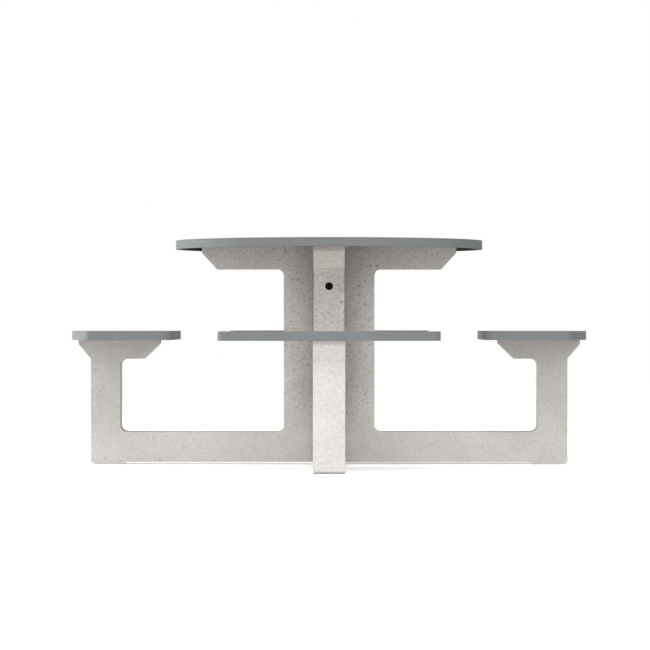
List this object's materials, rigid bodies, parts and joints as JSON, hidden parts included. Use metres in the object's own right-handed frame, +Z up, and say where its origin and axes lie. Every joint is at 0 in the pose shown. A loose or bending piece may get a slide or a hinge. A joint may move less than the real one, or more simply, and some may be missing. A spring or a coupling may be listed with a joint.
{
  "type": "round picnic table with fixed bench seats",
  "caption": "Round outdoor picnic table on crossed concrete frames, with a fixed bench seat on each post head.",
  "frame": {"origin": "on the ground under the middle of the table top", "axes": "+X to the right and +Y away from the viewer, along the two frames; +Z up"},
  "size_m": [1.7018, 1.7018, 0.74],
  "materials": {
    "concrete": "smooth cast concrete with fine pores",
    "reinforcing_steel": "mill",
    "rubber_pad": "matt",
    "zinc_steel": "zinc plated",
    "stainless_screw": "satin",
    "black_cap": "matt",
    "sand_laminate": "satin",
    "black_core": "matt",
    "grey_band": "satin powder coat"
  },
  "bodies": {
    "root": {"across_frame": "concrete", "across_frame_bars": "reinforcing_steel", "along_frame": "concrete", "along_frame_bars": "reinforcing_steel", "lap_pad": "rubber_pad", "lap_side_pads": "rubber_pad", "lap_spacers": "rubber_pad", "tie_rod": "zinc_steel", "tie_nuts": "zinc_steel", "tie_washers": "zinc_steel", "tie_sleeves": "zinc_steel", "tie_caps": "black_cap", "table_deck": "sand_laminate", "table_core": "black_core", "table_edge_band": "grey_band", "table_edge_lath": "black_core", "table_screws": "stainless_screw", "table_sockets": "zinc_steel", "right_seat_deck": "sand_laminate", "right_seat_core": "black_core", "right_seat_edge_band": "grey_band", "right_seat_edge_lath": "black_core", "right_seat_screws": "stainless_screw", "right_seat_sockets": "zinc_steel", "rear_seat_deck": "sand_laminate", "rear_seat_core": "black_core", "rear_seat_edge_band": "grey_band", "rear_seat_edge_lath": "black_core", "rear_seat_screws": "stainless_screw", "rear_seat_sockets": "zinc_steel", "left_seat_deck": "sand_laminate", "left_seat_core": "black_core", "left_seat_edge_band": "grey_band", "left_seat_edge_lath": "black_core", "left_seat_screws": "stainless_screw", "left_seat_sockets": "zinc_steel", "front_seat_deck": "sand_laminate", "front_seat_core": "black_core", "front_seat_edge_band": "grey_band", "front_seat_edge_lath": "black_core", "front_seat_screws": "stainless_screw", "front_seat_sockets": "zinc_steel"}
  },
  "joints": []
}
